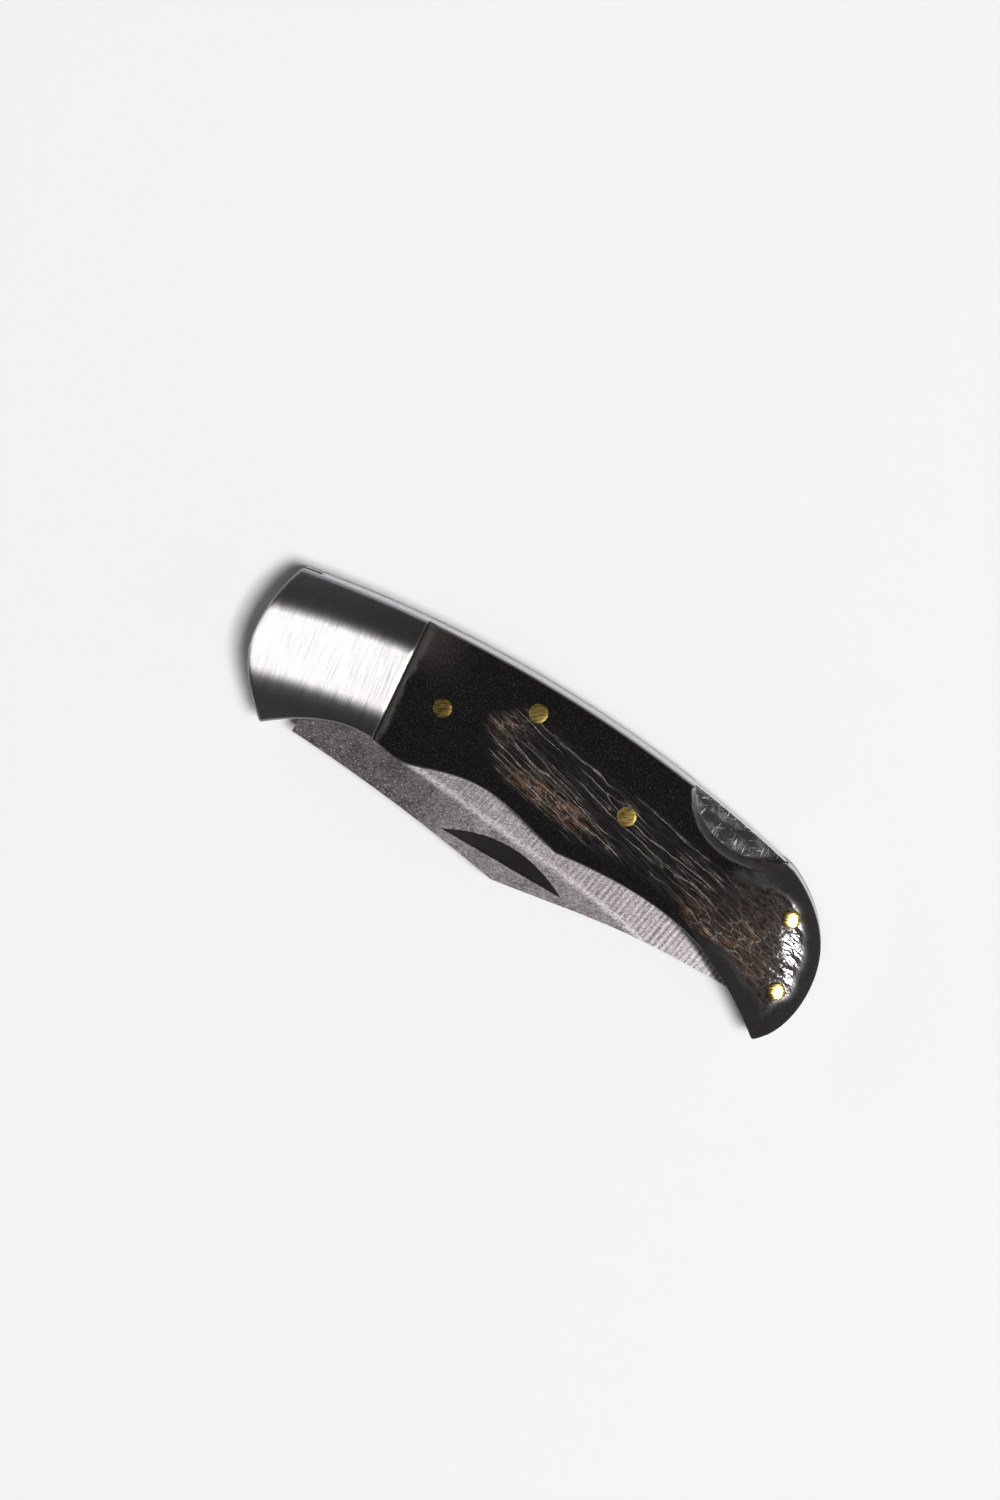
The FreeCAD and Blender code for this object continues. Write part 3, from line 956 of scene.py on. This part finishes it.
def blade_zones(tree):
    world = node(tree, "NewGeometry").outputs["True Normal"]
    settings = {"vector_type": "NORMAL", "convert_from": "WORLD", "convert_to": "OBJECT"}
    own = node(tree, "VectorTransform", {0: world}, **settings).outputs[0]
    lean = parts(tree, own)
    facing = calc(tree, "GREATER_THAN", calc(tree, "ABSOLUTE", lean["Z"]), SIDEWAYS)
    zones = SimpleNamespace()
    zones.bevel = times(tree, calc(tree, "GREATER_THAN", lean["Y"], LEAN), facing)
    zones.nick = times(tree, calc(tree, "LESS_THAN", lean["Y"], -LEAN), facing)
    zones.x, y, _ = ruler(tree)
    past = calc(tree, "MAXIMUM", calc(tree, "SUBTRACT", zones.x, GRIND_BEND[0]))
    bend = times(tree, past, past, GRIND_BEND[1])
    straight = times(tree, calc(tree, "SUBTRACT", zones.x, GRIND_START[0]), GRIND_SLOPE)
    line = plus(tree, straight, bend, GRIND_START[1])
    zones.from_line = near(tree, y, line)
    return zones


blade_finish, blade_tree, blade_shader = new_finish("stonewashed_steel", (0.2, 0.19, 0.185, 1), 1.0, 0.45)
blade_seen = blade_zones(blade_tree)
tell_nodes("that find the blade's zones", blade_tree)

# %% [markdown]
# ## Stonewashed flat
# The blade was tumbled with stones, which leaves a dull, speckled grey with bright flecks. Beyond the
# heel, where a thumb rubs it on the way to the nick, the flat has worn brighter. The nick itself is
# pressed in, and smooth.

# %% Flat of the blade
FLAT_DARK = (0.093, 0.081, 0.084, 1)
FLAT_BRIGHT = (0.38, 0.342, 0.348, 1)
WORN_DARK = (0.19, 0.168, 0.171, 1)
WORN_BRIGHT = (0.76, 0.69, 0.70, 1)
WORN_SPAN = (21.0, 31.0)
FLECK = (0.90, 0.85, 0.85, 1)
FLECK_TURN_DEG = -25.0


def flat_color(tree, seen):
    flecks = grain(tree, FLECK_TURN_DEG, (2.6, 6.5, 5.0), 2.0, 0.5)
    cloud = grain(tree, 0.0, (0.3, 0.3, 0.3), 3.0, 0.6)
    mottled = span(tree, seen.speck, 0.38, 0.66, 0.0, 0.7)
    tone = plus(tree, mottled, span(tree, cloud, 0.3, 0.7, -0.1, 0.15))
    beyond_heel = span(tree, seen.x, *WORN_SPAN)
    dark = blend(tree, beyond_heel, FLAT_DARK, WORN_DARK)
    bright = blend(tree, beyond_heel, FLAT_BRIGHT, WORN_BRIGHT)
    flat = blend(tree, tone, dark, bright)
    return blend(tree, span(tree, flecks, 0.64, 0.70, 0.0, 0.9), flat, FLECK)


blade_seen.speck = grain(blade_tree, 20.0, (2.4, 5.0, 3.2), 5.0, 0.8)
blade_seen.flat = flat_color(blade_tree, blade_seen)
tell_nodes("with the flat", blade_tree)

# %% [markdown]
# ## Ground bevel
# The bevel was ground across the blade after the tumbling, and keeps the stripes of the wheel. A sine
# gives their pitch. Left alone it would look printed, so slow noise shifts it along and lets it fade in
# and out, and fine lines and the same specks as on the flat lie over it.

# %% Bevel of the blade
WHEEL_PITCH = 0.75
WHEEL_TURN_DEG = -9.0
WHEEL_SPAN = (30.0, 62.0)
DULL_HEEL_SPAN = (26.0, 32.0)
GROUND_DARK = (0.25, 0.222, 0.226, 1)
GROUND_BRIGHT = (0.93, 0.855, 0.86, 1)


def wheel_stripes(tree, seen):
    per_mm = (2 * math.pi / WHEEL_PITCH, 1.0, 1.0)
    across = parts(tree, place(tree, WHEEL_TURN_DEG, per_mm))["X"]
    drift = grain(tree, WHEEL_TURN_DEG, (0.25, 0.0, 0.0), 3.0, 0.6)
    strength = span(tree, grain(tree, WHEEL_TURN_DEG, (0.9, 0.04, 0.0), 1.0, 0.5), 0.35, 0.65, 0.3, 1.0)
    wave = calc(tree, "SINE", plus(tree, across, times(tree, drift, 12.0)))
    return times(tree, wave, strength, span(tree, seen.x, *WHEEL_SPAN, 0.12, 0.36))


def bevel_color(tree, seen):
    fine = span(tree, seen.lines, 0.3, 0.7, -0.15, 0.30)
    dull_heel = span(tree, seen.x, *DULL_HEEL_SPAN, -0.12, 0.0)
    stripe = plus(tree, wheel_stripes(tree, seen), fine, dull_heel)
    stripe = calc(tree, "ADD", stripe, span(tree, seen.speck, 0.35, 0.65, 0.0, 0.75), True)
    return blend(tree, stripe, GROUND_DARK, GROUND_BRIGHT)


blade_seen.lines = grain(blade_tree, WHEEL_TURN_DEG, (8.0, 0.3, 0.3), 3.0, 0.6)
blade_seen.ground = bevel_color(blade_tree, blade_seen)
tell_nodes("with the bevel", blade_tree)

# %% [markdown]
# ## Putting the blade together
# The zones choose between flat and bevel. A pale line is painted along the ridge between them, a painted
# highlight where the ridge would catch the lamp. The specks are also relief, a hundredth of a millimetre
# deep.

# %% Finish of the blade
RIDGE_HIGHLIGHT_WIDTH = 0.75
PAINTED_RIDGE_HIGHLIGHT = (1.0, 0.93, 0.93, 1)
NICK_GREY = (0.27, 0.25, 0.25, 1)
BLADE_RELIEF = 0.010


def blade_surface(tree, shader, seen):
    # Painted highlight: a pale line along the ridge between flat and bevel
    ridge_highlight = span(tree, seen.from_line, 0.0, RIDGE_HIGHLIGHT_WIDTH, 0.95, 0.0)
    ridge_highlight = times(tree, ridge_highlight, span(tree, seen.speck, 0.35, 0.6, 0.1, 1.0))
    shade = blend(tree, seen.bevel, seen.flat, seen.ground)
    shade = blend(tree, ridge_highlight, shade, PAINTED_RIDGE_HIGHLIGHT)
    shade = blend(tree, seen.nick, shade, NICK_GREY)
    smoother = rest_of(tree, times(tree, seen.nick, 0.5))
    rough = times(tree, span(tree, seen.speck, 0.3, 0.7, 0.40, 0.52), smoother)
    paint(tree, shader, shade, rough)
    pitted = relief(tree, shader, times(tree, seen.speck, rest_of(tree, seen.nick)), BLADE_RELIEF)
    relief(tree, shader, times(tree, seen.lines, seen.bevel), BLADE_RELIEF, pitted)


blade_surface(blade_tree, blade_shader, blade_seen)
dress(nodes["blade"], blade_finish)
tell_nodes("in the blade's finish", blade_tree)

# %% [markdown]
# ## Lock bar, liners and spacer
# These are polished and then scratched by use: the lock bar by the thumb and by what it meets in a
# pocket, the liners along their edges. Scratches are hair lines in a few directions, broken into short
# pieces, over a field of tiny pits and the long lines of the drawn bar.

# %% Scratched steel
PLAIN_STEEL = (0.34, 0.335, 0.345, 1)
MARKED_STEEL = (0.95, 0.93, 0.93, 1)
SCRATCH_DEPTH = 0.001
LOCK_SCRATCHES_DEG = (-54.0, 98.0, 25.0)
LOCK_DRAWN_DEG = -8.0
LINER_SCRATCHES_DEG = (5.0,)
LINER_DRAWN_DEG = 0.0


def scratched_steel(name, rough, angles, drawn_deg):
    finish, tree, shader = new_finish(name, STEEL_TINT, 1.0, rough)
    crowd = span(tree, grain(tree, 0.0, (0.5, 0.7, 0.7), 3.0, 0.6), 0.3, 0.7)
    pits = span(tree, grain(tree, 0.0, (7.0, 7.0, 7.0), 3.0, 0.7), 0.54, 0.70, 0.0, 0.8)
    marks = times(tree, pits, crowd)
    for turn in angles:
        broken = span(tree, grain(tree, turn, (0.5, 1.5, 1.5), 2.0, 0.5), 0.52, 0.60)
        scratch = times(tree, hairs(tree, turn, (0.08, 1.5, 1.5), 0.018), broken)
        marks = calc(tree, "MAXIMUM", marks, scratch)
    drawn = grain(tree, drawn_deg, (0.05, 6.0, 6.0), 3.0, 0.6)
    tone = calc(tree, "ADD", marks, span(tree, drawn, 0.3, 0.7, 0.0, 0.3), True)
    shade = blend(tree, tone, PLAIN_STEEL, MARKED_STEEL)
    scuffed = span(tree, marks, 0.0, 1.0, rough, rough + 0.25)
    scuffed = plus(tree, scuffed, span(tree, crowd, 0.0, 1.0, 0.0, 0.08))
    paint(tree, shader, shade, scuffed)
    relief(tree, shader, plus(tree, marks, drawn), SCRATCH_DEPTH)
    tell_nodes("in the " + name, tree)
    return finish


lock_finish = scratched_steel("scratched_steel", 0.2, LOCK_SCRATCHES_DEG, LOCK_DRAWN_DEG)
liner_finish = scratched_steel("liner_steel", 0.3, LINER_SCRATCHES_DEG, LINER_DRAWN_DEG)
dress(nodes["lock_bar"], lock_finish)
for name in ("left_liner", "right_liner", "tail_spacer"):
    dress(nodes[name], liner_finish)

# %% [markdown]
# ## The leaf spring
# A thin leaf, held in the tail spacer, pushes the tail of the lock bar up. A thumb on the bar bends it. A
# stiff leaf would cut through the bar there, so this copy gets more points along its length.

# %% A leaf with more points
SPRING_CUTS = 5

work = bmesh.new()
work.from_mesh(nodes["lock_spring"].data)
bmesh.ops.subdivide_edges(work, edges=work.edges, cuts=SPRING_CUTS)
leaf = make_piece("lock_spring_leaf", work)
dress(leaf, liner_finish)
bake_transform(leaf)
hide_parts("lock_spring")

# %% [markdown]
# ## Brass and bronze
# Brass that is handled turns brown in its hollows and stays yellow where it is rubbed. Two noises share
# that work: long scuffs from the grinding and slow stains. Towards both ends of the handle, which rub
# most in a pocket, the pins are smoother. The washers, which never see a hand, are bronze in the same
# way.

# %% Aged metal
BRASS_DARK = (0.50, 0.34, 0.08, 1)
BRASS_BRIGHT = (0.85, 0.63, 0.21, 1)
BRONZE_DARK = (0.30, 0.17, 0.07, 1)
BRONZE_BRIGHT = (0.55, 0.36, 0.17, 1)
SCUFF_TURN_DEG = 35.0
SCUFF_DEPTH = 0.0018
FRONT_RUBBED = (18.0, 26.0)
TAIL_RUBBED = (55.0, 65.0)


def aged_metal(name, dark, bright):
    finish, tree, shader = new_finish(name, bright, 1.0, 0.25)
    scuff = grain(tree, SCUFF_TURN_DEG, (0.9, 6.0, 1.0), 3.0, 0.6)
    stain = grain(tree, 0.0, (0.9, 0.9, 0.9), 3.0, 0.6)
    scuffed = span(tree, scuff, 0.35, 0.65, 0.0, 0.6)
    tone = calc(tree, "ADD", scuffed, span(tree, stain, 0.35, 0.65, 0.0, 0.5), True)
    shade = blend(tree, tone, dark, bright)
    x = ruler(tree)["X"]
    front = span(tree, x, *FRONT_RUBBED, -0.08, 0.0)
    rubbed = plus(tree, front, span(tree, x, *TAIL_RUBBED, 0.0, -0.16))
    rough = plus(tree, span(tree, scuff, 0.3, 0.7, 0.26, 0.36), rubbed)
    paint(tree, shader, shade, rough)
    relief(tree, shader, scuff, SCUFF_DEPTH)
    tell_nodes("in the " + name, tree)
    return finish


brass = aged_metal("aged_brass", BRASS_DARK, BRASS_BRIGHT)
bronze = aged_metal("washer_bronze", BRONZE_DARK, BRONZE_BRIGHT)
for name in ("left_washer", "right_washer"):
    dress(nodes[name], bronze)

# %% [markdown]
# ## Pins
# A pin is a rod through the whole handle, hammered at both ends and ground level with the horn. Grinding
# leaves its ends very slightly domed, which is why each catches the lamp on a different side. So each end
# is built as rings round a centre, on the crown's own height, with the outermost rings let down a little.

# %% Ends of a pin
PIN_DOME = 0.06
PIN_RINGS = 7
PIN_SPOKES = 40
PINS = ("front_pin", "lock_bar_pin", "middle_pin", "upper_tail_pin", "lower_tail_pin")


def bridge(work, inner, outer):
    for i in range(PIN_SPOKES):
        work.faces.new((inner[i - 1], outer[i - 1], outer[i], inner[i]))


def pin_end(work, centre, radius, sign):
    x, y = centre
    hub = work.verts.new(to_frame((x, y, sign * crown_height(x, y))))
    rows = []
    for share in np.arange(1, PIN_RINGS + 1) / PIN_RINGS:
        row = []
        for angle in np.arange(PIN_SPOKES) * 2 * math.pi / PIN_SPOKES:
            px = x + share * radius * math.cos(angle)
            py = y + share * radius * math.sin(angle)
            z = crown_height(px, py) - PIN_DOME * share ** 4
            row.append(work.verts.new(to_frame((px, py, sign * z))))
        rows.append(row)
    for i in range(PIN_SPOKES):
        work.faces.new((hub, rows[0][i - 1], rows[0][i]))
    for inner, outer in zip(rows, rows[1:]):
        bridge(work, inner, outer)
    return rows[-1]


print("faces on one end of a pin:", PIN_SPOKES * PIN_RINGS)

# %% Domed pins


def domed_pin(name):
    low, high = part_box(name)
    centre = (to_mm(low) + to_mm(high))[:2] / 2
    radius = (high.x - low.x) / 2 / MM
    work = bmesh.new()
    rims = [pin_end(work, centre, radius, sign) for sign in (1, -1)]
    bridge(work, *rims)
    bmesh.ops.recalc_face_normals(work, faces=work.faces)
    return make_piece(name + "_domed", work)


for name in PINS:
    piece = domed_pin(name)
    dress(piece, brass)
    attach(piece, "handle")
    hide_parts(name)

# %% [markdown]
# ## Table
# The knife lies on a plain pale table. It is only a square, wide enough to fill the picture, with a matt
# finish that mirrors nothing. A glossy table would add reflections that no one asked for.

# %% A pale table
TABLE_SIZE = 6.0
TABLE_WHITE = (0.838, 0.838, 0.838, 1)

half = TABLE_SIZE / 2
square = [(-half, -half, 0), (half, -half, 0), (half, half, 0), (-half, half, 0)]
table_mesh = bpy.data.meshes.new("table")
table_mesh.from_pydata(square, [], [(0, 1, 2, 3)])
table = bpy.data.objects.new("table", table_mesh)
scene.collection.objects.link(table)
table_finish, _, table_shader = new_finish("table_white", TABLE_WHITE, 0.0, 0.9)
table_shader.inputs["Specular IOR Level"].default_value = 0.0
dress(table, table_finish)
print("side of the table, m:", TABLE_SIZE)

# %% [markdown]
# ## Lamps
# A ceiling panel a little beyond the tail lights what is matt, and throws the shadow to the front. What
# is polished mirrors a softbox that hangs further out, some thirty-five degrees from overhead, so that
# the rolled tail sends it into the camera. A weaker box on the other side fills in. One lamp could do
# both jobs, but then brightness and mirror image could not be set apart.

# %% Three lamps
LAMP_DISTANCE = 3.0
# Direction from the knife, side in metres, watts, and whether it is mirrored or only lights what is matt
LAMPS = {
    "ceiling": ((0.25, 0.05, 1.0), 0.70, 90.0, False),
    "softbox": ((0.68, 0.02, 1.0), 0.40, 58.0, True),
    "fill": ((-0.75, -0.2, 1.0), 0.8, 14.0, True),
}

for name, (toward, size, watts, mirrored) in LAMPS.items():
    lamp_data = bpy.data.lights.new(name, "AREA")
    lamp_data.shape = "SQUARE"
    lamp_data.size = size
    lamp_data.energy = watts
    lamp = bpy.data.objects.new(name, lamp_data)
    lamp.location = Vector(toward).normalized() * LAMP_DISTANCE
    lamp.rotation_euler = lamp.location.to_track_quat("Z", "Y").to_euler()
    lamp.visible_glossy = mirrored
    lamp.visible_diffuse = not mirrored
    scene.collection.objects.link(lamp)
    print(name, "degrees from overhead:", round(math.degrees(Vector(toward).angle((0, 0, 1)))))

# %% [markdown]
# ## Room
# Polished steel shows the room. Overhead it is dark, which leaves black bands beside the white one on the
# bolster, and the bolster's finish darkens them further with painted shade. The walls beyond the knife's
# two ends are lighter, and the corners a little, so a turned knife has something to mirror. A world made
# of a few nodes does this, where a picture of a studio would bring other people's lamps.

# %% A dark room with light walls
ROOM = 0.03
ROOM_ENDS = 0.65
ENDS_POWER = 3.0
ROOM_CORNERS = 0.22

world = bpy.data.worlds.new("room")
world.use_nodes = True
room = world.node_tree
sky = room.nodes["Background"]
sky.inputs["Color"].default_value = (1, 1, 1, 1)
way = parts(room, node(room, "TexCoord").outputs["Generated"])
level = rest_of(room, calc(room, "ABSOLUTE", way["Z"]))
ends = calc(room, "POWER", calc(room, "ABSOLUTE", way["X"]), ENDS_POWER)
corners = calc(room, "ABSOLUTE", times(room, way["X"], way["Y"]))
glow = plus(room, times(room, level, ends, ROOM_ENDS), times(room, corners, ROOM_CORNERS), ROOM)
room.links.new(glow, sky.inputs["Strength"])
scene.world = world
tell_nodes("in the room", room)

# %% [markdown]
# ## Camera
# The photograph looks down on the knife's left side, turned by thirty-two degrees and leaning a little,
# from far enough that nothing looks wide. The lens follows from the distance and from how many
# millimetres one pixel of the picture shows, so the knife comes out at the photograph's size without
# trying lenses by hand.

# %% The photograph's view
IMAGE_HEIGHT = 1500
MM_PER_PIXEL = 0.13
AIM = (28.17, 2.27, 0.0)
ROLL_DEG = 32.0
LEAN_DEG = 6.0
CAMERA_DISTANCE = 0.8
SENSOR = 36.0

lean = math.radians(LEAN_DEG)
turn = math.radians(ROLL_DEG)
back = Vector((0, math.sin(lean), math.cos(lean)))
across = Vector((0, math.cos(lean), -math.sin(lean)))
right = Vector((1, 0, 0)) * math.cos(turn) + across * math.sin(turn)
up = across * math.cos(turn) - Vector((1, 0, 0)) * math.sin(turn)
camera_data = bpy.data.cameras.new("camera")
camera_data.sensor_fit = "VERTICAL"
camera_data.sensor_height = SENSOR
camera_data.lens = SENSOR * CAMERA_DISTANCE / (IMAGE_HEIGHT * MM_PER_PIXEL * MM)
camera = bpy.data.objects.new("camera", camera_data)
turned = Matrix((right, up, back)).transposed().to_4x4()
camera.matrix_world = Matrix.Translation(Vector(to_frame(AIM)) + back * CAMERA_DISTANCE) @ turned
scene.collection.objects.link(camera)
scene.camera = camera
print("lens, mm:", round(camera_data.lens, 1))
